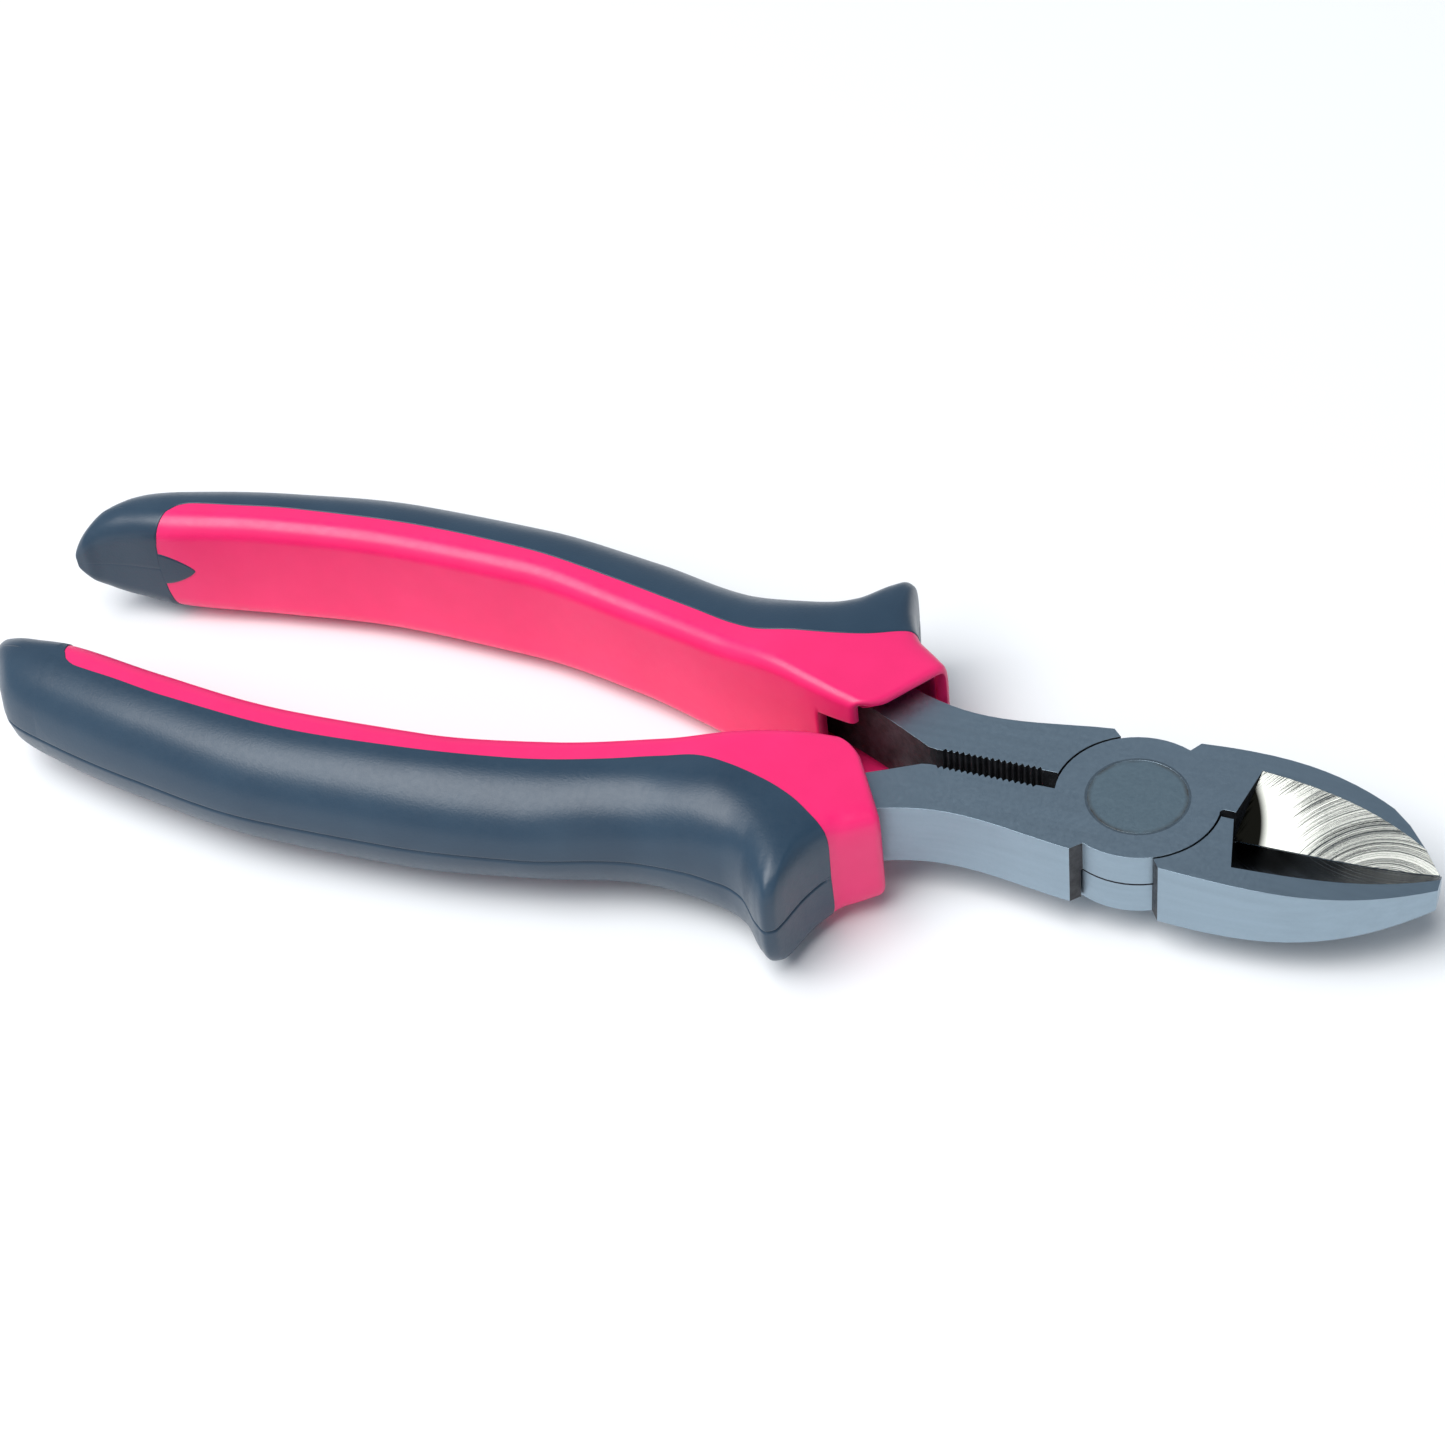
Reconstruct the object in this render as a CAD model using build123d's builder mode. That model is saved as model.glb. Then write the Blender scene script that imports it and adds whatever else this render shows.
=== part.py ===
from build123d import *
import os

# Diagonal cutting pliers with a lap joint, lying on their side.
# X runs from the pivot towards the jaw tips, Z is the pivot axis, and +Y is the left lever's handle side.
# The origin is on the pivot axis, on the flat underside of the rivet.  All sizes are millimetres.

# Driving dimensions: the forged heads
head_thickness = 9.0
boss_radius = 9.6
shoulder_radius = 11.3
jaw_shoulder_angle = 26.0
tang_shoulder_angle = 28.5
jaw_reach = 35.2
jaw_half_width = 10.4
jaw_taper_start = 6.0
jaw_taper_radius = 142.0
tip_half_width = 2.5
tip_half_height = 1.4
tip_crown = 0.4

# Driving dimensions: the ground cutting edges
bevel_rise = 0.54
bevel_root = 11.2
bevel_heel_lean = 2.4
bevel_blend_start = 20.0
edge_land = 0.12
relief_radius = 0.55
relief_length = 1.0

# Driving dimensions: the rivet
rivet_radius = 5.8
rivet_shank_radius = 4.2
rivet_head_height = 1.0
rivet_cone_height = 1.4

# Driving dimensions: the tangs inside the handles
tang_tail_thickness = 6.0
tang_taper_start = -38.0
tang_taper_end = -58.0
grip_gap = 2.5
serration_pitch = 0.72
serration_depth = 0.42
serration_count = 17
serration_end = -12.0

# Driving dimensions: the two-part handles
tail_reach = 147.0
sleeve_front_inner = (-32.4, 2.6)
sleeve_front_outer = (-26.9, 12.2)
window_start = -40.5
grip_skin = 2.4
grip_cover = 1.6
guard_rounding = 2.4

# Running and seating clearances
lap_gap = 0.06
boss_gap = 0.25
rivet_gap = 0.05
edge_gap = 0.10
window_gap = 0.15

# The lists below are drawn for this tail reach, and stretch from the guard backwards when the reach is changed
drawn_reach = 147.0
stretch_start = -58.0

mid_z = head_thickness / 2
middle = Plane.XY.offset(mid_z)
roll_axis = Axis((0, 0, mid_z), (1, 0, 0))
grip_half_gap = grip_gap / 2



def along(x):
    """Where a drawn length x comes to lie once the handle behind the guard is stretched to its real reach."""
    behind = max(0.0, stretch_start - x)
    return x + behind - behind * (tail_reach + stretch_start) / (drawn_reach + stretch_start)


# Tang edges of the left lever as (x, y): the outer edge runs from the joint to the tail and the inner edge back
tang_outer = [(-9, 9.45), (-15, 8.5), (-22.6, 8.3), (-30, 10.3), (-40, 14.8), (-60, 18.4), (-82, 20.9), (-104, 21.4)]
tang_end = [(-118, 20.0), (-117.6, 16.0)]
tang_inner = [(-104, 16.9), (-82, 16.2), (-60, 12.6), (-40, 8.4), (-31, 4.3), (-25.6, grip_half_gap + 0.2)]
tang_outer = [(along(x), y) for x, y in tang_outer]
tang_end = [(along(x), y) for x, y in tang_end]
tang_inner = [(along(x), y) for x, y in tang_inner]

# Handle sections of the left side: (x, inner y, outer y, half height, inner corner radius, flat share of the width)
handle_sections = [
    (-147.0, 8.3, 11.6, 3.2, 0.9, 0.35),
    (-146.0, 8.7, 12.9, 4.6, 1.3, 0.35),
    (-144.0, 9.5, 16.3, 6.4, 2.0, 0.35),
    (-140.5, 10.3, 20.2, 7.3, 2.4, 0.35),
    (-134.0, 11.0, 22.4, 8.0, 2.6, 0.35),
    (-120.0, 13.2, 25.3, 8.3, 2.6, 0.35),
    (-102.0, 14.8, 27.5, 8.2, 2.6, 0.35),
    (-84.0, 14.2, 27.0, 8.2, 2.6, 0.35),
    (-68.0, 11.3, 25.0, 8.0, 2.4, 0.35),
    (-55.0, 7.7, 21.7, 8.6, 2.2, 0.40),
    (-46.0, 5.0, 20.9, 9.5, 1.8, 0.45),
    (-38.0, 2.9, 19.6, 8.9, 1.4, 0.50),
    (-32.0, 2.5, 17.6, 8.0, 1.3, 0.55),
    (-26.0, 2.5, 11.6, 7.1, 1.3, 0.60),
]
handle_sections = [(along(x), *sizes) for x, *sizes in handle_sections]
core_sections = handle_sections[5:-3]

# The thumb guard grows out of the handle's side: (y, rear x, front x, half height)
guard_sections = [
    (14.0, -52.0, -30.4, 8.3),
    (20.0, -47.5, -31.9, 7.9),
    (23.0, -42.5, -33.1, 7.2),
    (25.5, -39.6, -33.9, 6.2),
    (27.4, -37.2, -34.7, 4.2),
]

# Where the dark grip meets the sleeve on the flat faces, from the tail to the guard: (x, y)
grip_border = [(-133.8, 12.6), (-131.6, 14.6), (-126, 16.4), (-117.5, 18.0), (-100, 19.3), (-85, 18.5),
               (-72, 16.5), (-60, 13.2), (-50, 11.5), (-42, 12.8), (-35.8, 15.3), (-32.4, 17.4)]
grip_border = [(along(x), y) for x, y in grip_border]
grip_front = (-31.6, 19.0)
tail_cap_inner = (along(-134.4), 6.0)
beyond_y = 40.0


def across(x):
    """The plane square to the X axis at x, with its own X along Y and its origin at mid thickness."""
    return Plane(origin=(x, 0, mid_z), x_dir=(0, 1, 0), z_dir=(1, 0, 0))


def on_circle(radius, degrees_from_y):
    """A point on a circle round the pivot, by its angle from the Y axis, positive towards the tips."""
    return Vector(0, radius).rotate(Axis.Z, -degrees_from_y)


def lever_outline():
    """The left lever seen from above, as one face: tang, joint disc and jaw."""
    inner_edge = -edge_gap / 2
    tang_shoulder = on_circle(shoulder_radius, -tang_shoulder_angle)
    tang_neck = on_circle(boss_radius - 0.5, -tang_shoulder_angle + 4)
    tang_root = (-boss_radius + 2, grip_half_gap)
    jaw_shoulder = on_circle(shoulder_radius, 180 - jaw_shoulder_angle)
    jaw_neck = on_circle(boss_radius - 0.5, 180 - jaw_shoulder_angle + 2)
    jaw_root = (boss_radius - 2, inner_edge)
    tip_outer = (jaw_reach, -tip_half_width)
    tip_inner = (jaw_reach + tip_crown, inner_edge)
    with BuildSketch() as face:
        with BuildLine():
            Line(tang_neck, tang_shoulder)
            Spline([tang_shoulder] + tang_outer)
            Polyline([tang_outer[-1]] + tang_end + [tang_inner[0]])
            Spline(tang_inner)
            Polyline(tang_inner[-1], (-24.6, grip_half_gap), tang_root, tang_neck)
        make_face()
        Circle(boss_radius)
        with BuildLine():
            Line(jaw_neck, jaw_shoulder)
            Spline([jaw_shoulder, (11.5, -jaw_half_width - 0.1), (18.8, -jaw_half_width + 0.3),
                    (26.3, -8.0), (jaw_reach - 2.8, -4.6), tip_outer])
            Polyline(tip_outer, tip_inner, jaw_root, jaw_neck)
        make_face()
    return face.sketch


def bevel_cutter():
    """The wedge of metal ground away above the left jaw's cutting edge, behind a leaning heel wall."""
    far = jaw_half_width + 2
    top = head_thickness
    tip_edge = tip_half_height - edge_land / 2
    edge_heights = [(bevel_root - 3, edge_land), (bevel_blend_start, edge_land),
                    (bevel_blend_start + 8, 0.30), (jaw_reach + 1, tip_edge)]
    with BuildPart() as wedge:
        for x, edge_height in edge_heights:
            with BuildSketch(across(x)):
                with BuildLine():
                    Polyline((0.3, edge_height), (0, edge_height), (-far, edge_height + bevel_rise * far),
                             (-far, top), (0.3, top), close=True)
                make_face()
        loft()
        with BuildSketch(middle):
            with BuildLine():
                Polyline((bevel_root, 1), (bevel_root, 0), (bevel_root + bevel_heel_lean, -far),
                         (jaw_reach + 1, -far), (jaw_reach + 1, 1), close=True)
            make_face()
        extrude(amount=top, mode=Mode.INTERSECT)
    return wedge.part


def lever_blank():
    """The left lever before its rivet hole: the disc is the lower half of the joint."""
    with BuildPart() as blank:
        with BuildSketch(Plane.XY):
            add(lever_outline())
        extrude(amount=mid_z - lap_gap / 2)
        with BuildSketch(Plane.XY.offset(mid_z - lap_gap / 2)):
            add(lever_outline())
            Circle(boss_radius + boss_gap, mode=Mode.SUBTRACT)
        extrude(amount=mid_z + lap_gap / 2)
        # Side view: level at the joint, an arc down to the blunt tip, and a thinner tang inside the handle
        upper_tip = (jaw_reach + 1, mid_z + tip_half_height)
        lower_tip = (jaw_reach + 1, mid_z - tip_half_height)
        upper_tail = mid_z + tang_tail_thickness / 2
        lower_tail = mid_z - tang_tail_thickness / 2
        with BuildSketch(Plane.XZ):
            with BuildLine():
                RadiusArc((jaw_taper_start, head_thickness), upper_tip, jaw_taper_radius)
                Line(upper_tip, lower_tip)
                RadiusArc(lower_tip, (jaw_taper_start, 0), jaw_taper_radius)
                Polyline((jaw_taper_start, 0), (tang_taper_start, 0), (tang_taper_end, lower_tail),
                         (-tail_reach, lower_tail), (-tail_reach, upper_tail), (tang_taper_end, upper_tail),
                         (tang_taper_start, head_thickness), (jaw_taper_start, head_thickness))
            make_face()
        extrude(amount=2 * beyond_y, both=True, mode=Mode.INTERSECT)
        # Cutting bevels above and below, and the small relief slot where the two edges begin
        add(bevel_cutter(), mode=Mode.SUBTRACT)
        add(bevel_cutter().mirror(middle), mode=Mode.SUBTRACT)
        with BuildSketch(Plane.XY):
            with Locations((bevel_root - relief_length / 2 - 0.1, 0)):
                SlotCenterToCenter(relief_length, 2 * relief_radius)
        extrude(amount=head_thickness, mode=Mode.SUBTRACT)
        # Gripping serrations along the tang's inner edge
        with BuildSketch(Plane.XY):
            for tooth in range(serration_count):
                x = serration_end - tooth * serration_pitch
                with BuildLine():
                    Polyline((x - serration_pitch / 2, grip_half_gap - 0.1), (x, grip_half_gap + serration_depth),
                             (x + serration_pitch / 2, grip_half_gap - 0.1), close=True)
                make_face()
        extrude(amount=head_thickness, mode=Mode.SUBTRACT)
    return blank.part


def rivet_body(gap):
    """The rivet's solid of revolution, with a flush head at each end, grown by a radial gap."""
    head = rivet_radius + gap
    shank = rivet_shank_radius + gap
    neck = rivet_head_height + rivet_cone_height
    with BuildPart() as body:
        with BuildSketch(Plane.XZ):
            with BuildLine():
                Polyline((0, 0), (head, 0), (head, rivet_head_height), (shank, neck),
                         (shank, head_thickness - neck), (head, head_thickness - rivet_head_height),
                         (head, head_thickness), (0, head_thickness), close=True)
            make_face()
        revolve(axis=Axis.Z)
    return body.part


def handle_loft(sections, skin, cover):
    """The D-shaped handle body through its sections, flat inside and round outside, drawn in by two amounts."""
    with BuildPart() as body:
        for x, inner_y, outer_y, half_height, corner_radius, flat_share in sections:
            height = half_height - cover
            outside = outer_y - skin
            flat_end = inner_y + (outside - inner_y) * flat_share
            with BuildSketch(across(x)) as section:
                with BuildLine():
                    Line((inner_y, -height), (flat_end, -height))
                    EllipticalCenterArc((flat_end, 0), outside - flat_end, height, start_angle=-90, arc_size=180)
                    Polyline((flat_end, height), (inner_y, height), (inner_y, -height))
                make_face()
                fillet(section.vertices().sort_by(Axis.X)[:2], corner_radius)
        loft()
    return body.part


def guard_loft():
    """The thumb guard, a horn that narrows outwards from the handle's side."""
    with BuildPart() as horn:
        for y, rear_x, front_x, half_height in guard_sections:
            with BuildSketch(Plane(origin=(0, y, mid_z), x_dir=(1, 0, 0), z_dir=(0, 1, 0))):
                length = front_x - rear_x
                with Locations(((rear_x + front_x) / 2, 0)):
                    RectangleRounded(length, 2 * half_height, min(guard_rounding, 0.45 * length))
        loft()
    return horn.part


def grip_region():
    """The block of space that belongs to the dark grip: the outer side, the tail and the guard."""
    with BuildPart() as region:
        with BuildSketch(Plane.XY.offset(mid_z - beyond_y)):
            with BuildLine():
                Line(tail_cap_inner, grip_border[0])
                Spline(grip_border)
                Polyline(grip_border[-1], grip_front, (grip_front[0], beyond_y), (-2 * tail_reach, beyond_y),
                         (-2 * tail_reach, tail_cap_inner[1]), tail_cap_inner)
            make_face()
        extrude(amount=2 * beyond_y)
    return region.part


# Left lever, with a running hole for the rivet
with BuildPart() as left_lever:
    add(lever_blank())
    add(rivet_body(rivet_gap), mode=Mode.SUBTRACT)
left_lever.part.label = "left_lever"

# Right lever: the same forging rolled over about the X axis, closed tight on the rivet
with BuildPart() as right_lever:
    add(lever_blank().rotate(roll_axis, 180))
    add(rivet_body(0), mode=Mode.SUBTRACT)
right_lever.part.label = "right_lever"

# Pivot rivet, ground flush with both faces
with BuildPart() as pivot_rivet:
    add(rivet_body(0))
pivot_rivet.part.label = "pivot_rivet"

# Left grip: a dark skin over the sleeve's outer side, with the tail cap and the thumb guard
with BuildPart() as left_grip:
    add(handle_loft(handle_sections, 0, 0))
    add(guard_loft())
    add(grip_region(), mode=Mode.INTERSECT)
    add(handle_loft(core_sections, grip_skin, grip_cover), mode=Mode.SUBTRACT)
    add(lever_blank(), mode=Mode.SUBTRACT)
left_grip.part.label = "left_grip"

# Left sleeve: the hard inner part on the tang, with its collar cut at a slant and open on the inner side
with BuildPart() as left_sleeve:
    add(handle_loft(handle_sections, 0, 0))
    add(guard_loft())
    add(left_grip.part, mode=Mode.SUBTRACT)
    with BuildSketch(Plane.XY.offset(mid_z - beyond_y)):
        with BuildLine():
            slant = (Vector(*sleeve_front_outer) - Vector(*sleeve_front_inner)).normalized()
            front_low = Vector(*sleeve_front_inner) - slant * 20
            front_high = Vector(*sleeve_front_outer) + slant * 20
            Polyline(front_low, front_high, (0, beyond_y), (0, -beyond_y), close=True)
        make_face()
    extrude(amount=2 * beyond_y, mode=Mode.SUBTRACT)
    with BuildSketch(Plane.XY.offset(-window_gap)):
        with Locations((window_start, 0)):
            Rectangle(-window_start, 9.0, align=(Align.MIN, Align.MIN))
    extrude(amount=head_thickness + 2 * window_gap, mode=Mode.SUBTRACT)
    add(lever_blank(), mode=Mode.SUBTRACT)
left_sleeve.part.label = "left_sleeve"

# The right handle's parts are the left ones rolled over about the X axis
right_sleeve = left_sleeve.part.rotate(roll_axis, 180)
right_sleeve.label = "right_sleeve"
right_grip = left_grip.part.rotate(roll_axis, 180)
right_grip.label = "right_grip"

os.makedirs("parts", exist_ok=True)
for piece in [left_lever.part, right_lever.part, pivot_rivet.part, left_sleeve.part, right_sleeve,
              left_grip.part, right_grip]:
    export_step(piece, "parts/" + piece.label + ".step")
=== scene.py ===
# %% [markdown]
# # Diagonal cutting pliers, built in Blender
# The CAD frame gives the forged levers, the rivet and the simple handle blocks, all in metres.
# This lesson keeps that frame still and adds what CAD leaves out: moulded handles with soft curves,
# a mould line, rounded edges, ground steel and lighting for a clean studio picture.

# %% Load the frame
import math
import bmesh
import bpy
import numpy as np
from mathutils import Matrix, Vector


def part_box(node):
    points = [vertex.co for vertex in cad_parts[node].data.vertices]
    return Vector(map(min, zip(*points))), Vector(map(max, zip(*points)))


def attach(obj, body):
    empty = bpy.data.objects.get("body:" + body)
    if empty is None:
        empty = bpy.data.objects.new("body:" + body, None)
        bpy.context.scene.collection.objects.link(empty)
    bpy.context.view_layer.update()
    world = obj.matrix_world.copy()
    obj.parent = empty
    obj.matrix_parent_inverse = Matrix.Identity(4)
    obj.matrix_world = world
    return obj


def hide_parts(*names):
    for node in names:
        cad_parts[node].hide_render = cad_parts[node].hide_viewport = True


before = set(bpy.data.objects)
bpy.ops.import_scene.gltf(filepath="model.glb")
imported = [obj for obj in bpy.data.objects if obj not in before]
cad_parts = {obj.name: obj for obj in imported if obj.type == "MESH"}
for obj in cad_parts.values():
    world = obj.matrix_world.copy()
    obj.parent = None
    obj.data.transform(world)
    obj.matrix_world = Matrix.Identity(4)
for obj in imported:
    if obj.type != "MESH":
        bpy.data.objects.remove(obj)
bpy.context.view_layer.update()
MM = 0.001
MID_Z = 4.5
print("frame nodes:", sorted(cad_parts))

# %% [markdown]
# ## A smooth curve through a few known sizes
# A moulded handle is defined by sections measured along its length. Blender's own curves could be used,
# but a small function keeps every size in numbers that can be changed later.
# The curve must never overshoot between two sections,
# so each slope is a cautious average of its neighbours.


# %% Smooth curve
def smooth_curve(knots, values, x):
    """A cubic curve through the knots that never overshoots.
    The slope at a knot is the harmonic mean of the two slopes beside it,
    or zero where they differ in sign."""
    knots = np.asarray(knots, float)
    values = np.asarray(values, float)
    step = np.diff(knots)
    rise = np.diff(values) / step
    same = rise[:-1] * rise[1:] > 0
    mean = np.where(same, 2 * rise[:-1] * rise[1:] / np.where(same, rise[:-1] + rise[1:], 1), 0)
    slope = np.concatenate([rise[:1], mean, rise[-1:]])
    x = np.clip(x, knots[0], knots[-1])
    k = np.clip(np.searchsorted(knots, x, side="right") - 1, 0, len(step) - 1)
    t = (x - knots[k]) / step[k]
    h = step[k]
    return ((1 + 2 * t) * (1 - t) ** 2 * values[k] + t * (1 - t) ** 2 * h * slope[k]
            + t * t * (3 - 2 * t) * values[k + 1] + t * t * (t - 1) * h * slope[k + 1])


def smooth_step(t):
    """Zero below 0, one above 1, with a soft rise between."""
    t = np.clip(t, 0, 1)
    return t * t * (3 - 2 * t)


# %% [markdown]
# ## The handle's sections
# Each row is one cut across the left handle, in millimetres: where it is, its inner and outer side,
# half its height and the radius of its inner corners. The last two numbers have no unit:
# how much of the width is flat before the round side starts, and how square that side is.
# The distance from the tail is taken by its square root,
# which makes the tail end round instead of pointed.

# %% Sections
TAIL_X = -147.5
STATIONS = np.array([
    (-147.5, 10.0, 10.8, 0.3, 0.2, 0.35, 1.0),
    (-147.2, 9.2, 11.6, 1.9, 1.2, 0.35, 1.0),
    (-146.0, 9.2, 13.4, 4.0, 2.4, 0.35, 1.0),
    (-143.8, 9.8, 16.7, 6.0, 3.4, 0.35, 1.0),
    (-140.5, 10.4, 20.3, 7.2, 3.4, 0.35, 1.0),
    (-134.0, 11.0, 22.4, 8.0, 3.0, 0.35, 1.0),
    (-120.0, 13.3, 25.3, 8.3, 2.6, 0.35, 1.0),
    (-102.0, 14.8, 27.5, 8.2, 2.6, 0.35, 1.0),
    (-84.0, 14.2, 27.0, 8.3, 2.6, 0.35, 1.0),
    (-68.0, 11.2, 25.0, 7.9, 2.4, 0.35, 1.0),
    (-55.0, 7.7, 21.7, 8.4, 2.2, 0.40, 0.98),
    (-46.0, 5.2, 20.8, 9.4, 1.8, 0.45, 0.86),
    (-41.0, 3.7, 19.8, 9.1, 1.6, 0.48, 0.64),
    (-37.0, 2.8, 18.9, 8.6, 1.4, 0.50, 0.50),
    (-33.0, 2.3, 17.3, 7.9, 1.3, 0.52, 0.40),
    (-29.3, 2.3, 15.3, 7.3, 1.2, 0.54, 0.35),
    (-26.0, 2.4, 13.0, 6.8, 1.2, 0.56, 0.34),
])
GUARD = np.array([(-60, 0), (-54.8, 0.1), (-48.9, 0.4), (-43.6, 1.7), (-40.7, 3.5), (-37.4, 7.7),
                  (-36.0, 8.9), (-35.2, 8.7), (-34.7, 7.6), (-34.3, 6.2), (-33.7, 4.2), (-32.4, 1.7),
                  (-31.0, 0.4), (-28, 0)])
WINDOW_HALF = 4.6


def section_sizes(x):
    """The six sizes of the section at length x, without the guard."""
    root = np.sqrt(np.clip(x - TAIL_X, 0, None))
    knots = np.sqrt(STATIONS[:, 0] - TAIL_X)
    return [smooth_curve(knots, STATIONS[:, i], root) for i in range(1, 7)]


def outer_side(x):
    """Where the flat top ends and how far out the side reaches, guard included."""
    inner, outer, half, corner, flat, power = section_sizes(x)
    flat_end = np.maximum(inner + (outer - inner) * flat, inner + np.minimum(corner, half * 0.8))
    return flat_end, outer + smooth_curve(GUARD[:, 0], GUARD[:, 1], x)


def handle_point(x, girth):
    """A point (x, y, z) of the left handle's surface, in millimetres.
    Girth runs round the section: 0 is the middle of the outer side, 1 the end of the flat top,
    2 to 3 the inner corner and 4 the middle of the inner wall. Negative girth is the underside.
    The outer side is half a superellipse: an ellipse at power 1, and squarer as the power gets less."""
    x, girth = np.broadcast_arrays(np.asarray(x, float), np.asarray(girth, float))
    inner, outer, half, corner, flat, power = section_sizes(x)
    corner = np.minimum(corner, half * 0.8)
    flat_end, reach = outer_side(x)
    around = np.abs(girth)
    side_angle = np.clip(around, 0, 1) * math.pi / 2
    cosine, sine = np.cos(side_angle).clip(0), np.sin(side_angle)
    shrink = (cosine ** (2 / power) + sine ** (2 / power)) ** (-power / 2)
    y_side = flat_end + (reach - flat_end) * cosine * shrink
    z_side = half * sine * shrink
    on_top = np.clip(around - 1, 0, 1)
    y_top = flat_end + (inner + corner - flat_end) * on_top
    turn = np.clip(around - 2, 0, 1) * math.pi / 2
    y_turn = inner + corner * (1 - np.sin(turn))
    z_turn = half - corner * (1 - np.cos(turn))
    wall = half - corner
    window = np.minimum(WINDOW_HALF, wall * 0.8)
    down = np.clip(around - 3, 0, 1)
    z_wall = np.where(down < 0.4, wall + (window - wall) * down / 0.4, window * (1 - down) / 0.6)
    y = np.select([around <= 1, around <= 2, around <= 3], [y_side, y_top, y_turn], inner)
    z = np.select([around <= 1, around <= 2, around <= 3], [z_side, half, z_turn], z_wall)
    return np.stack([x, y, z * np.sign(girth) + MID_Z], axis=-1)


middle_section = handle_point(-84, np.linspace(-4, 4, 60))
print("handle width at mid length:", np.ptp(middle_section[:, 1]).round(1), "mm")

# %% [markdown]
# ## The line where the two materials meet
# The dark grip meets the bright sleeve along one flowing line on each flat face.
# It's given here by a few points (x, y), then turned into girth,
# so that both pieces can follow the same line exactly.


# %% Border
FRONT_X = -31.4
CAP_X = -135.6
BORDER = np.array([(-134.0, 14.0), (-133.2, 15.1), (-131.7, 15.9), (-129.5, 16.3), (-126, 16.8),
                   (-117.5, 18.1), (-100, 19.3), (-85, 18.5), (-72, 16.5), (-60, 13.6), (-54, 11.9),
                   (-50, 11.2), (-45.6, 11.8), (-41, 12.8), (-37.5, 14.0), (-34, 16.0), (-32.4, 17.0),
                   (FRONT_X, 17.9)])


def border_girth(x):
    """Girth of the line between grip and sleeve at length x.
    It's 4 over the whole tail and 0 in front of the grip. The line's y is found first,
    then turned into an angle with the superellipse's own equation."""
    knot_x, knot_y = BORDER.T
    near_front = -np.sqrt(np.clip(FRONT_X - x, 0, None))
    y = smooth_curve(-np.sqrt(FRONT_X - knot_x), knot_y, near_front)
    inner, outer, half, corner, flat, power = section_sizes(x)
    flat_end, reach = outer_side(x)
    across = np.clip((y - flat_end) / (reach - flat_end), 0, 1)
    upwards = (1 - across ** (2 / power)) ** (power / 2)
    on_side = np.arctan2(upwards, across) / (math.pi / 2)
    on_flat = np.clip(1 + (flat_end - y) / (flat_end - inner - corner), 1, 2)
    girth = np.where(y > flat_end, on_side, on_flat)
    to_cap = np.clip((BORDER[0, 0] - x) / (BORDER[0, 0] - CAP_X), 0, 1)
    girth = girth + (4 - girth) * to_cap ** 1.6
    return np.where(x >= FRONT_X, 0.0, girth)


print("girth of the line at mid length:", border_girth(np.array([-84.0])).round(2))

# %% [markdown]
# ## From a grid of points to a mesh
# Both handle pieces are made as grids: rows along the handle and columns round it.
# A grid gives clean four-sided faces that shade smoothly. A closed grid joins its last column to the first.
# The right handle is the left one rolled half a turn about the long axis at mid thickness,
# which is how such tools are made.


# %% Mesh helpers
def grid_faces(rows, columns, closed=False):
    """Four-sided faces for a grid of rows times columns, as an array of vertex numbers."""
    index = np.arange(rows * columns).reshape(rows, columns)
    if closed:
        index = np.concatenate([index, index[:, :1]], axis=1)
    quads = np.stack([index[:-1, :-1], index[:-1, 1:], index[1:, 1:], index[1:, :-1]], axis=-1)
    return quads.reshape(-1, 4)


def make_piece(name, points, faces, rolled=False):
    """A smooth mesh object from points in millimetres, rolled over for the right side."""
    points = np.array(points, float).reshape(-1, 3)
    if rolled:
        points = points * (1, -1, -1) + (0, 0, 2 * MID_Z)
    mesh = bpy.data.meshes.new(name)
    mesh.from_pydata((points * MM).tolist(), [], faces)
    mesh.validate()
    mesh.shade_smooth()
    piece = bpy.data.objects.new(name, mesh)
    bpy.context.scene.collection.objects.link(piece)
    print(name, "has", len(mesh.polygons), "faces")
    return piece


def surface_normals(points):
    """Unit normals of a grid of points, pointing outwards: the cross product of its two directions."""
    along = np.gradient(points, axis=0)
    around = np.gradient(points, axis=1)
    normal = np.cross(around, along)
    length = np.linalg.norm(normal, axis=-1, keepdims=True)
    return normal / np.maximum(length, 1e-9)


print("3 by 4 points make", len(grid_faces(3, 4)), "faces, or", len(grid_faces(3, 4, True)), "closed")

# %% [markdown]
# ## The hard sleeve
# The sleeve is the bright part moulded onto the tang. Its front is cut at a slant and stands open,
# and a window on the inner wall shows the tang. Here the grid's last rows are moved onto the slanted plane,
# the window's faces are left out, and a Solidify modifier turns the skin into a wall with real thickness.
# Under the grip the sleeve is sunk a little, and its hidden tail end closes as a small dome.

# %% Sleeve
WALL = 1.7
WINDOW_GIRTH = 3.4
SLANT_INNER = np.array((-33.0, 2.6))
SLANT_OUTER = np.array((-27.0, 12.4))
WINDOW_X = -40.2
SLEEVE_TAIL = -141.0
TAIL_DOME = 4.0
SUNK = 0.6
FRONT_ROUNDING = 0.9


def slant_x(y):
    """Where the collar's slanted front is, at a given y. Its inner corner is rounded back."""
    run = SLANT_OUTER - SLANT_INNER
    return SLANT_INNER[0] + (y - SLANT_INNER[1]) * run[0] / run[1] - 0.26 * np.clip(5.2 - y, 0, None) ** 2


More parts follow.
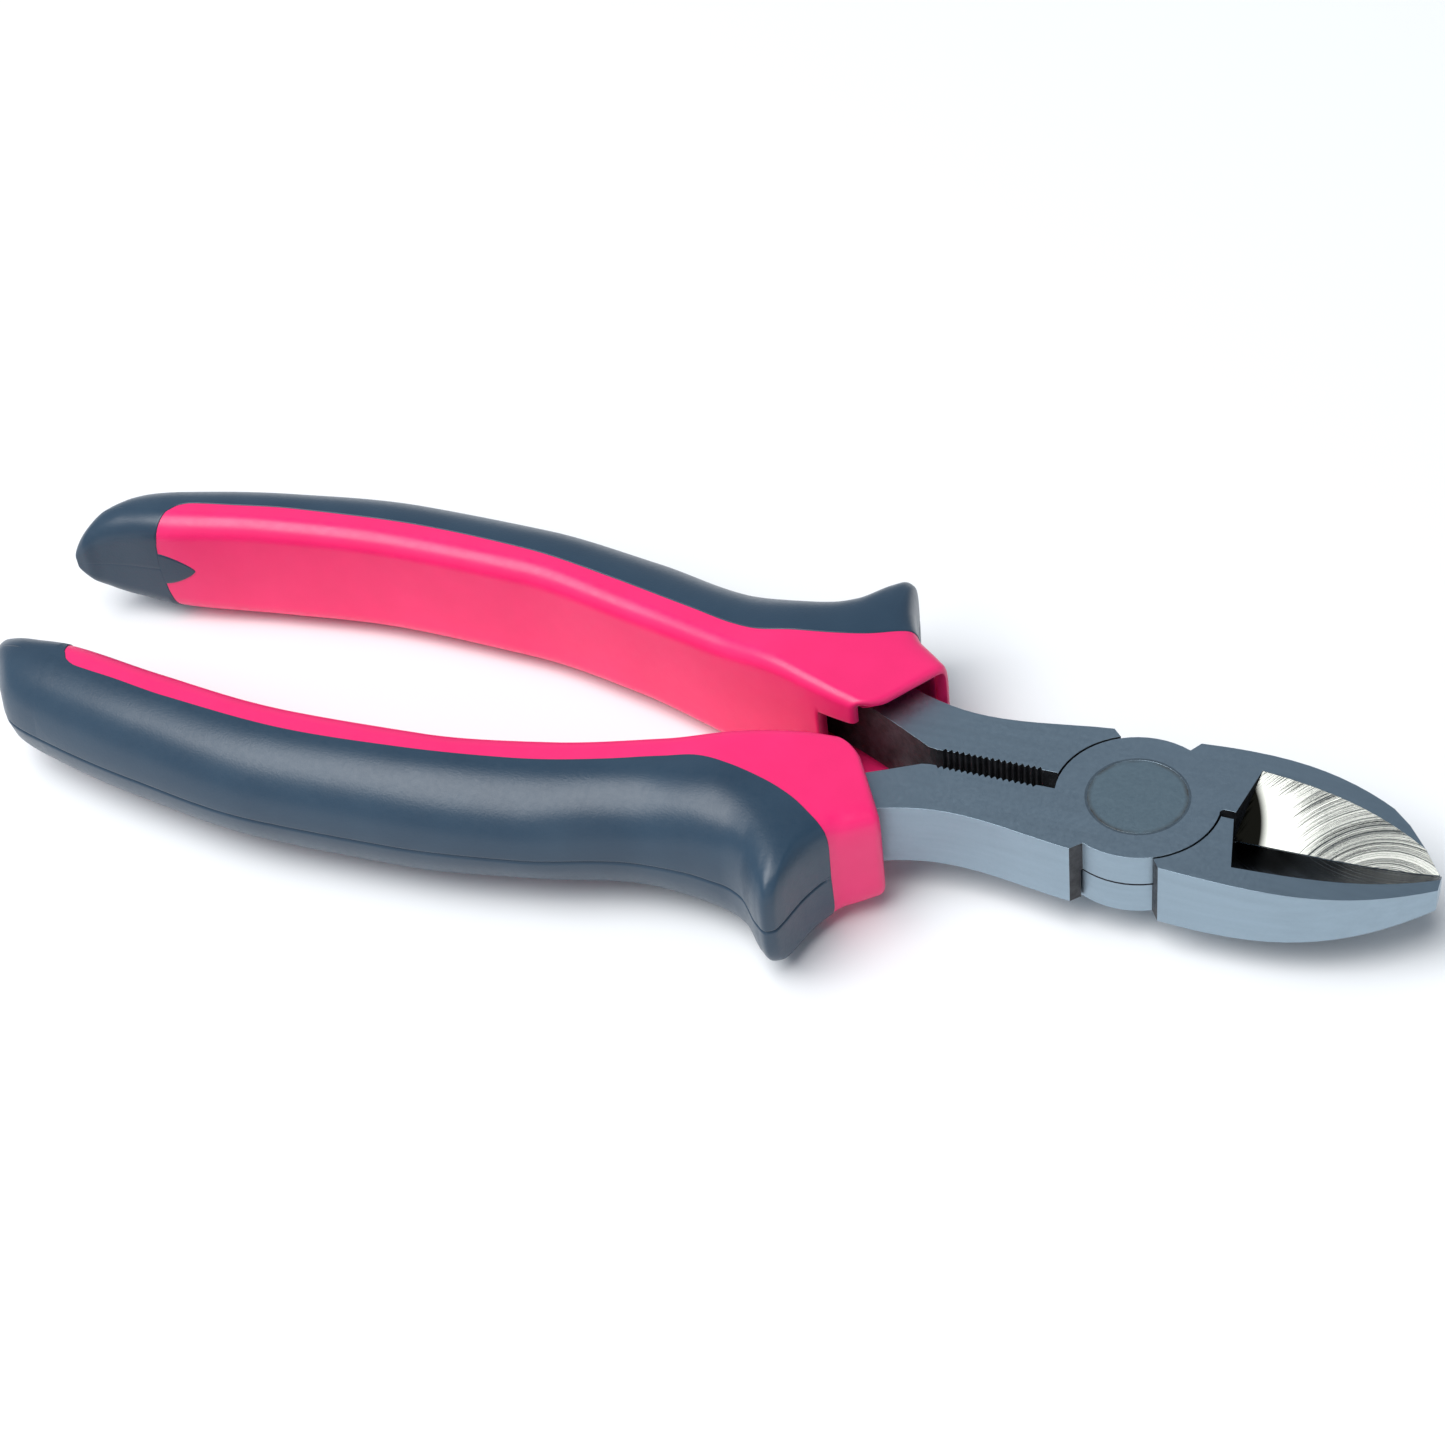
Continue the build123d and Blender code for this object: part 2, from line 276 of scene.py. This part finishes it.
def sleeve_grid():
    """Points of the sleeve's skin and its faces, without the window in the inner wall."""
    side = np.linspace(0, 1, 26)
    girth = np.concatenate([side, np.linspace(1, 2, 14)[1:], np.linspace(2, 3, 9)[1:],
                            np.linspace(3, WINDOW_GIRTH, 5)[1:],
                            np.linspace(WINDOW_GIRTH, 4, 9)[1:]])
    girth = np.concatenate([-girth[::-1][1:-1], girth])
    front = np.full(girth.shape, -28.0)
    for _ in range(40):
        front = slant_x(handle_point(front, girth)[:, 1])
    to_window = np.linspace(SLEEVE_TAIL, WINDOW_X, 190)
    beyond = np.linspace(0, 1, 34)[1:]
    roll = np.radians(np.linspace(0, 84, 9))[1:]
    rounding_start = front - FRONT_ROUNDING
    x = np.concatenate([np.repeat(to_window[:, None], girth.size, 1),
                        WINDOW_X + (rounding_start[None, :] - WINDOW_X) * beyond[:, None],
                        rounding_start[None, :] + FRONT_ROUNDING * np.sin(roll)[:, None]])
    points = handle_point(x, np.broadcast_to(girth, x.shape))
    inwards = np.zeros(len(x))
    inwards[-len(roll):] = FRONT_ROUNDING * (1 - np.cos(roll))
    covered = np.minimum(border_girth(x), border_girth(x + 0.7)) - np.abs(girth) - 0.02
    sink = SUNK * smooth_step(covered / 0.10) + inwards[:, None]
    points = points - surface_normals(points) * sink[..., None]
    from_tail = np.clip((x - SLEEVE_TAIL) / TAIL_DOME, 0, 1)
    dome = np.sqrt(np.clip(1 - (1 - from_tail) ** 2, 0.003, 1))[..., None]
    middle = points.mean(axis=1, keepdims=True)
    points = middle + (points - middle) * dome
    rows, columns = x.shape
    faces = grid_faces(rows, columns, closed=True)
    row = faces[:, 0] // columns
    start = np.abs(girth)[faces[:, 0] % columns]
    end = np.abs(girth)[faces[:, 1] % columns]
    in_window = (row >= len(to_window) - 1) & (np.minimum(start, end) >= WINDOW_GIRTH - 1e-6)
    faces = faces[~in_window]
    pole = points[0].mean(axis=0)
    ring = np.arange(columns)
    cap = np.stack([np.full(columns, rows * columns), np.roll(ring, -1), ring], axis=-1)
    return np.concatenate([points.reshape(-1, 3), pole[None]]), faces.tolist() + cap.tolist()


def add_sleeve(name, body, node, rolled):
    """One sleeve with its wall thickness and softened front edges."""
    points, faces = sleeve_grid()
    sleeve = make_piece(name, points, faces, rolled)
    wall = sleeve.modifiers.new("wall", "SOLIDIFY")
    wall.thickness = WALL * MM
    wall.offset = -1
    wall.use_even_offset = False
    edge = sleeve.modifiers.new("edge", "BEVEL")
    edge.width = 0.22 * MM
    edge.segments = 3
    edge.limit_method = "ANGLE"
    edge.angle_limit = math.radians(50)
    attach(sleeve, body)
    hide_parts(node)
    return sleeve


left_sleeve = add_sleeve("left_sleeve_moulded", "left_half", "left_sleeve", False)
right_sleeve = add_sleeve("right_sleeve_moulded", "right_half", "right_sleeve", True)

# %% [markdown]
# ## The soft grip
# The dark grip covers the outer side, the whole tail and the thumb guard.
# Its edge follows a flowing line on the flat faces, so each row of the grid runs from that line on top,
# round the outer side, to the same line below. The edge then rolls over and dips into the sleeve,
# which is what gives the fine shadow line between two materials.
# A shallow groove along the middle is the line where the two halves of the mould met.

# %% Grip
PROUD = 0.10
GROOVE_DEPTH = 0.22
GROOVE_WIDTH = 0.16
LIP_RADIUS = 0.16
TONGUE_LENGTH = 5.0
TONGUE_HALF = 2.6


def grip_rows():
    """Lengths of the grip's rows, close together at the tail, the cap line and the guard's front."""
    tail = TAIL_X + np.linspace(0.02, 1, 40) ** 2 * 10.5
    cap = np.linspace(-136.5, CAP_X, 8)[1:]
    cap_line = np.linspace(CAP_X, -133.0, 52)[1:]
    middle = np.linspace(-133.0, -44, 160)[1:]
    guard = FRONT_X - (FRONT_X + 44) * np.linspace(1, 0, 120) ** 1.7
    return np.concatenate([tail[tail < -136.6], [-136.5], cap, cap_line, middle, guard[1:]])


def edge_lip(points, normal, first):
    """Columns that roll the grip's edge over and take it down into the sleeve."""
    edge = points[:, 0] if first else points[:, -1]
    up = normal[:, 0] if first else normal[:, -1]
    inside = points[:, 1] if first else points[:, -2]
    along = np.gradient(edge, axis=0)
    along /= np.maximum(np.linalg.norm(along, axis=1, keepdims=True), 1e-9)
    out = np.cross(along, up)
    out *= np.sign(((edge - inside) * out).sum(axis=1, keepdims=True) + 1e-12)
    columns = []
    for turn in np.radians((30, 60, 90)):
        columns.append(edge + out * LIP_RADIUS * math.sin(turn) - up * LIP_RADIUS * (1 - math.cos(turn)))
    columns.append(columns[-1] - up * 0.45)
    return np.stack(columns if not first else columns[::-1], axis=1)


def grip_grid():
    """Points and faces of the grip, with its lips and its mould line."""
    x = grip_rows()
    limit = border_girth(x)
    fine = np.array([0.0, 0.006, 0.012, 0.018, 0.026, 0.04])
    share = np.concatenate([fine, np.linspace(0.07, 1, 44)])
    share = np.concatenate([-share[::-1][:-1], share])
    girth = limit[:, None] * share[None, :]
    near_middle = np.sign(share) * np.minimum(np.abs(share), limit[:, None] * 0.05)
    girth = np.where(np.abs(share) <= 0.04, near_middle, girth)
    rows = np.repeat(x[:, None], share.size, 1)
    points = handle_point(rows, girth)
    normal = surface_normals(points)
    away = np.linalg.norm(points - points[:, share.size // 2][:, None], axis=-1)
    groove = GROOVE_DEPTH * np.exp(-(away / GROOVE_WIDTH) ** 2)
    fade = smooth_step((points[..., 0] - TAIL_X) / 1.5)
    fade = fade * smooth_step((FRONT_X - points[..., 0] - 0.3) / 0.8)
    points = points + normal * (PROUD - groove * fade)[..., None]
    lip_low = edge_lip(points, normal, True)
    lip_high = edge_lip(points, normal, False)
    points = np.concatenate([lip_low, points, lip_high], axis=1)
    return points, grid_faces(*points.shape[:2])


def tail_tongue():
    """A pointed tongue of grip that runs from the tail cap along the middle of the inner wall."""
    along = np.linspace(-0.2, 1, 30)[:, None]
    across = np.concatenate([[-1.0, -1.0], np.linspace(-1, 1, 15), [1.0, 1.0]])[None, :]
    lip = np.array([0.5, 0.12] + [0.0] * 15 + [0.12, 0.5])[None, :]
    x = CAP_X + TONGUE_LENGTH * along
    half = TONGUE_HALF * (1 - np.clip(along, 0, 1) ** 1.5) ** 0.8
    y = section_sizes(x)[0] - PROUD * 0.8 + lip
    wider = np.sign(across) * np.clip(lip, 0, 0.12)
    points = np.broadcast_arrays(x, y, half * across + wider + MID_Z)
    return np.stack(points, axis=-1)


def add_grip(name, body, node, rolled):
    """One soft grip with its closed tail and its tongue."""
    points, faces = grip_grid()
    rows, columns = points.shape[:2]
    pole = points[0].mean(axis=0) - (0.03, 0, 0)
    ring = np.arange(columns)
    cap = np.stack([np.full(columns - 1, rows * columns), ring[1:], ring[:-1]], axis=-1)
    tongue = tail_tongue()
    tongue_faces = grid_faces(*tongue.shape[:2])[:, ::-1] + rows * columns + 1
    every = np.concatenate([points.reshape(-1, 3), pole[None], tongue.reshape(-1, 3)])
    grip = make_piece(name, every, faces.tolist() + cap.tolist() + tongue_faces.tolist(), rolled)
    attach(grip, body)
    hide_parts(node)
    return grip


left_grip = add_grip("left_grip_moulded", "left_half", "left_grip", False)
right_grip = add_grip("right_grip_moulded", "right_half", "right_grip", True)

# %% [markdown]
# ## Steel levers with softened edges
# A forged and ground edge is never perfectly sharp: it catches a thin line of light.
# The CAD mesh is copied, its split corners are merged and its flat triangles joined,
# and a small Bevel modifier rounds every sharp edge. Weighted normals keep the large faces looking flat.
# The CAD jaws end in a flat front and are a little long. Here both tips are ground shorter,
# and the right one is also rounded, as it is on the real tool.

# %% Levers and rivet
EDGE_ROUNDING = 0.14
RIVET_ROUNDING = 0.02
TIP_CUT = [((34.9, 0), (1, 0))]
ROUND_TIP_CUTS = [((34.9, 0), (1, 0)), ((29.0, 6.4), (0.64, 0.77)), ((32.2, 3.0), (0.77, 0.64))]


def grind_tip(work, cuts):
    """Grinds the jaw's tip with upright planes, each given by a point and an outward direction (x, y)."""
    for point, outwards in cuts:
        every = work.verts[:] + work.edges[:] + work.faces[:]
        bmesh.ops.bisect_plane(work, geom=every, dist=1e-7, plane_co=(point[0] * MM, point[1] * MM, 0),
                               plane_no=(outwards[0], outwards[1], 0), clear_outer=True)
        rim = [edge for edge in work.edges if edge.is_boundary]
        bmesh.ops.holes_fill(work, edges=rim)


def merged_copy(node, name, body, rounding, tip_cuts=()):
    """A copy of a CAD node with joined corners, a ground tip and fine bevels, which stands in for it."""
    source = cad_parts[node]
    copy = bpy.data.objects.new(name, source.data.copy())
    bpy.context.scene.collection.objects.link(copy)
    work = bmesh.new()
    work.from_mesh(copy.data)
    bmesh.ops.remove_doubles(work, verts=work.verts, dist=1e-6)
    grind_tip(work, tip_cuts)
    bmesh.ops.dissolve_limit(work, angle_limit=math.radians(0.6), verts=work.verts, edges=work.edges)
    work.to_mesh(copy.data)
    work.free()
    copy.data.shade_smooth()
    soft = copy.modifiers.new("soft edges", "BEVEL")
    soft.width = rounding * MM
    soft.segments = 2
    soft.limit_method = "ANGLE"
    soft.angle_limit = math.radians(25)
    even = copy.modifiers.new("flat faces stay flat", "WEIGHTED_NORMAL")
    even.weight = 100
    copy.data.materials.clear()
    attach(copy, body)
    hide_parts(node)
    print(name, "has", len(copy.data.polygons), "faces")
    return copy


left_lever = merged_copy("left_lever", "left_lever_steel", "left_half",
                         EDGE_ROUNDING, TIP_CUT)
right_lever = merged_copy("right_lever", "right_lever_steel", "right_half",
                          EDGE_ROUNDING, ROUND_TIP_CUTS)
rivet = merged_copy("pivot_rivet", "pivot_rivet_steel", "right_half", RIVET_ROUNDING)

# %% [markdown]
# ## Which faces get which finish
# One lever carries three finishes: satin steel on most faces, bright grinding on the cutting bevels,
# and painted shade, a dark steel, on the upright walls in corners and recesses. Each face is sorted by where
# it is and which way it looks, so the choice still holds when the mesh is built again with other triangles.

# %% Finishes of the faces
# DARK is the number of the painted shade material on the walls in corners and recesses.
GROUND, DARK = 1, 2


def mark_finishes(lever):
    """Gives each face of a lever its material: 0 satin, 1 ground or 2 painted shade.
    A ground bevel leans. The painted shade goes on upright walls in recesses and corners: the tang's inner
    edge, the wall behind the bevels, the small slot, the hollow arcs round the joint and the ends of the
    shoulders."""
    mesh = lever.data
    count = len(mesh.polygons)
    normal = np.empty(count * 3)
    centre = np.empty(count * 3)
    mesh.polygons.foreach_get("normal", normal)
    mesh.polygons.foreach_get("center", centre)
    look_x, look_y, look_z = normal.reshape(-1, 3).T
    x, y, _ = centre.reshape(-1, 3).T / MM
    leaning = (np.abs(look_y) > 0.3) & (np.abs(look_y) < 0.65) & (np.abs(look_z) > 0.7) & (x > 11)
    upright = np.abs(look_z) < 0.3
    radius = np.hypot(x, y)
    radial = (look_x * x + look_y * y) / np.maximum(radius, 1e-9)
    inner_edge = (x < -9) & (look_y * np.sign(y) < -0.3)
    behind_bevel = (x > 9.2) & (x < 14.5) & (np.abs(look_x) > 0.8) & (radius < 15)
    hollow_arc = (radius > 9.3) & (radius < 10.3) & (radial < -0.8)
    shoulder_end = (radius > 9.0) & (radius < 11.8) & (np.abs(radial) < 0.6)
    slot_wall = (x > 9.3) & (x < 11.4) & (np.abs(y) < 0.8)
    # These walls get painted shade: a dark colour where the recesses and corners would be in shadow.
    dark = upright & (inner_edge | behind_bevel | hollow_arc | shoulder_end | slot_wall)
    index = np.where(leaning, GROUND, np.where(dark, DARK, 0)).astype(np.int32)
    mesh.polygons.foreach_set("material_index", index)
    print(lever.name, "ground faces:", int(leaning.sum()), "dark faces:", int(dark.sum()))


# %% [markdown]
# ## Helpers for the materials
# Every finish is made from noise, in the object's own coordinates, so it stays put when the tool opens.
# A few small functions add the nodes that all the finishes share: noise, a change of range,
# a mix of two colours, fine relief and plain sums.


# %% Material helpers
def new_material(name, colour, roughness, metallic=0.0):
    """A material with a Principled shader, its node tree and the coordinates of the object.
    The colour and roughness hold until a noise is linked in their place."""
    material = bpy.data.materials.new(name)
    material.use_nodes = True
    tree = material.node_tree
    shader = tree.nodes["Principled BSDF"]
    shader.inputs["Base Color"].default_value = (*colour, 1)
    shader.inputs["Roughness"].default_value = roughness
    shader.inputs["Metallic"].default_value = metallic
    place = tree.nodes.new("ShaderNodeTexCoord")
    return material, tree, shader, place.outputs["Object"]


def noise(tree, vector, scale, stretch=(1, 1, 1), detail=3.0):
    """Noise of a given scale per metre, stretched along the axes."""
    mapping = tree.nodes.new("ShaderNodeMapping")
    mapping.inputs["Scale"].default_value = stretch
    tree.links.new(vector, mapping.inputs["Vector"])
    node = tree.nodes.new("ShaderNodeTexNoise")
    node.inputs["Scale"].default_value = scale
    node.inputs["Detail"].default_value = detail
    tree.links.new(mapping.outputs["Vector"], node.inputs["Vector"])
    return node.outputs["Fac"]


def remap(tree, value, low, high, start=0.3, end=0.7):
    """Turns a value between start and end into one between low and high, and holds it there outside.
    A noise value lies mostly between 0.3 and 0.7."""
    node = tree.nodes.new("ShaderNodeMapRange")
    node.inputs["From Min"].default_value = start
    node.inputs["From Max"].default_value = end
    node.inputs["To Min"].default_value = low
    node.inputs["To Max"].default_value = high
    tree.links.new(value, node.inputs["Value"])
    return node.outputs["Result"]


def calculate(tree, operation, *values):
    """A Math node. Each value is a number or another node's output."""
    node = tree.nodes.new("ShaderNodeMath")
    node.operation = operation
    for socket, value in zip(node.inputs, values):
        if isinstance(value, (int, float)):
            socket.default_value = value
        else:
            tree.links.new(value, socket)
    return node.outputs[0]


def split_axes(tree, vector):
    """The three parts of a vector, by the names X, Y and Z."""
    split = tree.nodes.new("ShaderNodeSeparateXYZ")
    tree.links.new(vector, split.inputs["Vector"])
    return split.outputs


def distance_from(tree, place, x, y):
    """Distance in metres from an upright axis at (x, |y|) in millimetres, whatever the height.
    The y of a place is folded, so a mark on one jaw is mirrored on the other."""
    axes = split_axes(tree, place)
    join = tree.nodes.new("ShaderNodeCombineXYZ")
    tree.links.new(axes["X"], join.inputs["X"])
    tree.links.new(calculate(tree, "ABSOLUTE", axes["Y"]), join.inputs["Y"])
    away = tree.nodes.new("ShaderNodeVectorMath")
    away.operation = "DISTANCE"
    away.inputs[1].default_value = (x * MM, y * MM, 0)
    tree.links.new(join.outputs["Vector"], away.inputs[0])
    return away.outputs["Value"]


def vary_colour(tree, shader, value, first, second):
    """Mixes two colours by a value and feeds the base colour."""
    mix = tree.nodes.new("ShaderNodeMix")
    mix.data_type = "RGBA"
    mix.inputs[6].default_value = (*first, 1)
    mix.inputs[7].default_value = (*second, 1)
    tree.links.new(value, mix.inputs[0])
    tree.links.new(mix.outputs[2], shader.inputs["Base Color"])


def vary_roughness(tree, shader, value, low, high):
    """Feeds the roughness with a noise value spread from low to high."""
    tree.links.new(remap(tree, value, low, high), shader.inputs["Roughness"])


def add_bump(tree, shader, value, distance, strength=1.0):
    """Fine relief from a value, by a distance in metres."""
    bump = tree.nodes.new("ShaderNodeBump")
    bump.inputs["Distance"].default_value = distance
    bump.inputs["Strength"].default_value = strength
    tree.links.new(value, bump.inputs["Height"])
    tree.links.new(bump.outputs["Normal"], shader.inputs["Normal"])
    return bump


# %% [markdown]
# ## The sleeve's hard plastic
# Injection moulded plastic has one strong colour all through and a satin skin.
# Two reds that lie close together keep the colour from looking printed,
# and a very shallow noise breaks up the highlights.

# %% Sleeve plastic
red, tree, shader, place = new_material("sleeve_red", (0.93, 0.022, 0.17), 0.36)
cloud = remap(tree, noise(tree, place, 160), 0, 1)
vary_colour(tree, shader, cloud, (0.95, 0.023, 0.172), (0.90, 0.020, 0.158))
vary_roughness(tree, shader, noise(tree, place, 900), 0.30, 0.40)
add_bump(tree, shader, noise(tree, place, 2600, detail=2), 0.00002, 0.35)
for sleeve in (left_sleeve, right_sleeve):
    sleeve.data.materials.append(red)
print(red.name, "has", len(tree.nodes), "nodes")

# %% [markdown]
# ## The grip's soft rubber
# The mould for a soft grip is spark eroded, which leaves a fine even grain.
# The grain is a small noise bump, and the roughness changes over the same kind of distance,
# so that the highlight spreads and shimmers a little.

# %% Grip rubber
rubber, tree, shader, place = new_material("grip_slate", (0.022, 0.056, 0.096), 0.42)
cloud = remap(tree, noise(tree, place, 120), 0, 1)
vary_colour(tree, shader, cloud, (0.021, 0.046, 0.078), (0.027, 0.056, 0.091))
vary_roughness(tree, shader, noise(tree, place, 1500), 0.30, 0.37)
add_bump(tree, shader, noise(tree, place, 3600, detail=2), 0.00003, 0.5)
for grip in (left_grip, right_grip):
    grip.data.materials.append(rubber)
print(rubber.name, "has", len(tree.nodes), "nodes")

# %% [markdown]
# ## Satin steel of the head
# The heads are ground along their length, so the noise is stretched to long thin streaks.
# Two thin dark lines mark the joins: one where the two discs lie on each other, only inside the joint,
# and one fainter ring round the rivet.

# %% Lever steel
JOINT_REACH = 9.8
LAP_LINE_HALF = 0.13
RIVET_STAIN = 5.95
RIVET_STAIN_HALF = 0.14
RIVET_STAIN_DEPTH = 0.40

steel, tree, shader, place = new_material("head_satin", (0.31, 0.39, 0.46), 0.33, 1.0)
streak = noise(tree, place, 60, stretch=(1, 18, 18), detail=6)
radius = distance_from(tree, place, 0, 0)
at_lap = calculate(tree, "COMPARE", split_axes(tree, place)["Z"], MID_Z * MM, LAP_LINE_HALF * MM)
in_joint = calculate(tree, "LESS_THAN", radius, JOINT_REACH * MM)
oil_line = calculate(tree, "MULTIPLY", at_lap, in_joint)
stain = calculate(tree, "COMPARE", radius, RIVET_STAIN * MM, RIVET_STAIN_HALF * MM)
dark_lines = calculate(tree, "MULTIPLY_ADD", stain, RIVET_STAIN_DEPTH, oil_line)
shade = calculate(tree, "SUBTRACT", remap(tree, streak, 0.92, 1.0), dark_lines)
vary_colour(tree, shader, shade, (0.03, 0.03, 0.035), (0.315, 0.400, 0.468))
vary_roughness(tree, shader, noise(tree, place, 2500), 0.36, 0.44)
add_bump(tree, shader, noise(tree, place, 900, stretch=(1, 6, 6), detail=5), 0.000006, 0.3)
for lever in (left_lever, right_lever):
    lever.data.materials.append(steel)
print(steel.name, "has", len(tree.nodes), "nodes")

# %% [markdown]
# ## The ground cutting bevels
# A grinding wheel leaves curved scratches. Noise read along the distance from a point beyond the jaw
# gives rings round that point, and as a bump they catch the light like real scratches.
# They are faint at the root and deeper towards the tip. The corner by the heel wall gets painted shade:
# the real wall leans further over the bevel than the CAD one, and this painted shade stands for the shadow
# at its foot.
# The left bevel gets a darker colour and shallower marks than the right one. The darker colour is painted
# shade, because the same finish would come out too pale there under these lights.

# %% Ground bevels
WHEEL_CENTRE = (29.5, -7.5)
BEVEL_ROOT = (12.5, 0.5)
HEEL_CENTRE = (4.2, 0.0)


def bevel_material(name, dark, light, relief):
    """Ground steel with rings round the wheel's centre and painted shade in the corner at the heel."""
    material, tree, shader, place = new_material(name, light, 0.14, 1.0)
    marks = noise(tree, distance_from(tree, place, *WHEEL_CENTRE), 1100, detail=7)
    from_root = distance_from(tree, place, *BEVEL_ROOT)
    from_heel = distance_from(tree, place, *HEEL_CENTRE)
    # Painted shade: the bevel's colour goes dark within about 10 mm of the heel, where the wall's foot would
    # shade it.
    past_heel_shade = remap(tree, from_heel, 0, 1, start=0.0099, end=0.0110)
    depth = remap(tree, from_root, 0.12, 1.0, start=0.005, end=0.009)
    vary_colour(tree, shader, past_heel_shade, dark, light)
    vary_roughness(tree, shader, marks, 0.12, 0.20)
    bump = add_bump(tree, shader, marks, relief)
    tree.links.new(depth, bump.inputs["Strength"])
    print(name, "has", len(tree.nodes), "nodes")
    return material


bright_bevel = bevel_material("bevel_bright", (0.0015, 0.0015, 0.0012), (0.25, 0.255, 0.235), 0.0006)
# The left bevel's darker colour is painted shade for its shaded side.
left_bevel_painted_shade = bevel_material("bevel_painted_shade", (0.02, 0.02, 0.02), (0.095, 0.100, 0.112), 0.0002)

# %% [markdown]
# ## Painted shade in the corners
# The walls in the corners and recesses get painted shade: a dark, blotchy and half dull steel.
# The three finishes are put on each lever in the order that the face numbers expect.

# %% Painted shade in the corners
# Painted shade for the walls in corners and recesses.
corner_shade_paint, tree, shader, place = new_material("corner_painted_shade", (0.035, 0.036, 0.040), 0.42, 0.6)
cloud = remap(tree, noise(tree, place, 700, detail=6), 0, 1)
vary_colour(tree, shader, cloud, (0.022, 0.022, 0.025), (0.060, 0.062, 0.068))
vary_roughness(tree, shader, noise(tree, place, 2000), 0.34, 0.50)
add_bump(tree, shader, noise(tree, place, 2500, detail=4), 0.00006, 0.5)
for lever, bevel in ((left_lever, left_bevel_painted_shade), (right_lever, bright_bevel)):
    lever.data.materials.append(bevel)
    lever.data.materials.append(corner_shade_paint)
    mark_finishes(lever)

# %% [markdown]
# ## The rivet
# The rivet is ground flush together with the levers, so only a brownish stain shows its rim.
# The rim's mask is multiplied by a noise, which leaves the stain patchy.

# %% Rivet
RIM_START = 5.25
RIM_END = 5.80

pin, tree, shader, place = new_material("rivet_face", (0.27, 0.355, 0.41), 0.34, 1.0)
cloud = remap(tree, noise(tree, place, 400, detail=5), 0, 1)
rim = remap(tree, distance_from(tree, place, 0, 0), 0, 1, start=RIM_START * MM, end=RIM_END * MM)
patchy = calculate(tree, "MULTIPLY", rim, cloud)
vary_colour(tree, shader, patchy, (0.275, 0.365, 0.415), (0.13, 0.09, 0.06))
vary_roughness(tree, shader, noise(tree, place, 2500), 0.36, 0.44)
add_bump(tree, shader, noise(tree, place, 700), 0.00002, 0.25)
rivet.data.materials.append(pin)
print(pin.name, "has", len(tree.nodes), "nodes")

# %% [markdown]
# ## Camera
# A long lens looks down on the tool from the front right, a little tilted.
# The small lens shift keeps the perspective while the frame is centred.

# %% Camera
turn, rise, roll = math.radians(26.2974), math.radians(44.8105), math.radians(-8.0466)
target = Vector((-54.283 * MM, 0, MID_Z * MM))
distance = 359.88 * MM
back = Vector((math.sin(turn) * math.cos(rise), -math.cos(turn) * math.cos(rise), math.sin(rise)))
right = (-back).cross(Vector((0, 0, 1))).normalized()
up = right.cross(-back)
tilted_right = math.cos(roll) * right + math.sin(roll) * up
tilted_up = math.cos(roll) * up - math.sin(roll) * right
camera_data = bpy.data.cameras.new("camera")
camera_data.sensor_width = 36
camera_data.lens = 73.62
camera_data.shift_x = 0.0143
camera_data.shift_y = 0.0101
camera_data.clip_start = 0.01
camera = bpy.data.objects.new("camera", camera_data)
place_camera = Matrix((tilted_right, tilted_up, back)).transposed().to_4x4()
place_camera.translation = target + back * distance
camera.matrix_world = place_camera
bpy.context.scene.collection.objects.link(camera)
bpy.context.scene.camera = camera
print("camera is", round((camera.location - target).length / MM), "mm from the handle")

# %% [markdown]
# ## Floor
# A wide white floor gives the clean look of a catalogue picture. It reaches far past what this camera sees,
# though a low camera would find its edge, and lies a tenth of a millimetre under the tool.


# %% Floor
def flat_sheet(name, x_low, x_high, y_low, y_high, z, material):
    """A level rectangle that belongs to the studio and not to the tool."""
    corners = [(x_low, y_low, z), (x_high, y_low, z), (x_high, y_high, z), (x_low, y_high, z)]
    mesh = bpy.data.meshes.new(name)
    mesh.from_pydata(corners, [], [(0, 1, 2, 3)])
    mesh.materials.append(material)
    sheet = bpy.data.objects.new(name, mesh)
    bpy.context.scene.collection.objects.link(sheet)
    return sheet


floor_z = min(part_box(node)[0].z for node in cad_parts) - 0.0001
half_floor = 4.0
floor_white = new_material("floor_white", (0.92, 0.92, 0.92), 0.9)[0]
floor = flat_sheet("floor", -half_floor, half_floor, -half_floor, half_floor, floor_z, floor_white)
print("floor is", round(2 * half_floor, 1), "m wide")

# %% [markdown]
# ## Light
# One wide soft light overhead does most of the work, and a weak one in front opens the shadows.
# Polished faces show what they mirror, so two black boards hang over the scene
# to darken the cutting bevel that faces them, and the grey-blue sky gives the flat steel its tone.


# %% Light
def soft_light(name, location, size, power):
    """A square area light that points at the middle of the tool."""
    data = bpy.data.lights.new(name, "AREA")
    data.size = size
    data.energy = power
    lamp = bpy.data.objects.new(name, data)
    lamp.location = location
    aim = Vector((-0.05, 0, 0)) - Vector(location)
    lamp.rotation_mode = "QUATERNION"
    lamp.rotation_quaternion = aim.to_track_quat("-Z", "Y")
    bpy.context.scene.collection.objects.link(lamp)
    print(name, "shines from", location)


soft_light("overhead", (-0.50, -0.55, 1.5), 1.4, 33.0)
soft_light("front_fill", (0.5, -1.8, 0.5), 1.0, 1.5)

card_z = 1.45
card_black = new_material("card_black", (0.01, 0.01, 0.01), 0.9)[0]
flat_sheet("card_behind", -1.3, 0.3, 0.36, 1.05, card_z, card_black)
flat_sheet("card_right", 0.30, 1.3, -1.2, 1.05, card_z, card_black)

world = bpy.data.worlds.new("studio")
bpy.context.scene.world = world
world.use_nodes = True
world.node_tree.nodes["Background"].inputs["Color"].default_value = (0.34, 0.40, 0.47, 1)
world.node_tree.nodes["Background"].inputs["Strength"].default_value = 1.0
bpy.context.scene.view_settings.view_transform = "Standard"
